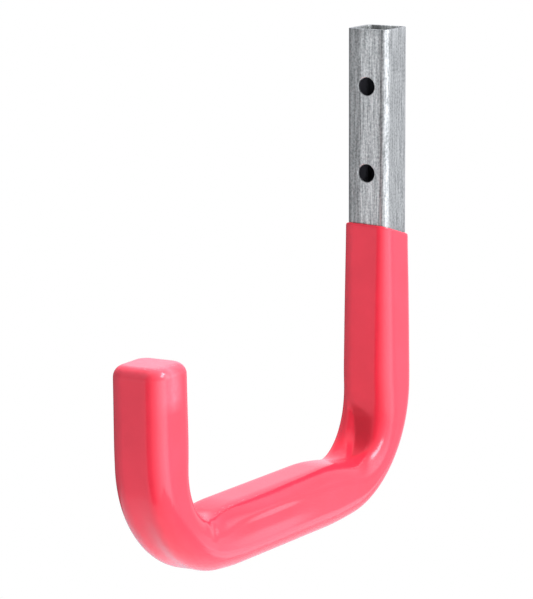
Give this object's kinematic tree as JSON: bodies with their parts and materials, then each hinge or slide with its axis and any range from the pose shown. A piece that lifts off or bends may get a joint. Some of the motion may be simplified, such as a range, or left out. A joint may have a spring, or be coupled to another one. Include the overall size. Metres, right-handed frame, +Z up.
{
  "type": "wall hook",
  "caption": "J-shaped hook bent from square galvanised tube, with screw holes at the top and a thick dipped red vinyl coating over the arm and nose.",
  "frame": {"origin": "on the back face of the shank, midway between the two screw holes", "axes": "+X across the hook's width, +Y into the wall, +Z up along the shank"},
  "size_m": [0.0284, 0.2115, 0.2105],
  "materials": {
    "galvanised_steel": "hot-dip galvanised, mottled light grey with vertical draw marks",
    "plug_plastic": "moulded black polyethylene, hidden under the coating",
    "red_vinyl": "glossy dipped soft vinyl, coral red"
  },
  "bodies": {
    "root": {"steel_tube": "galvanised_steel", "end_plug": "plug_plastic", "red_coating": "red_vinyl"}
  },
  "joints": []
}
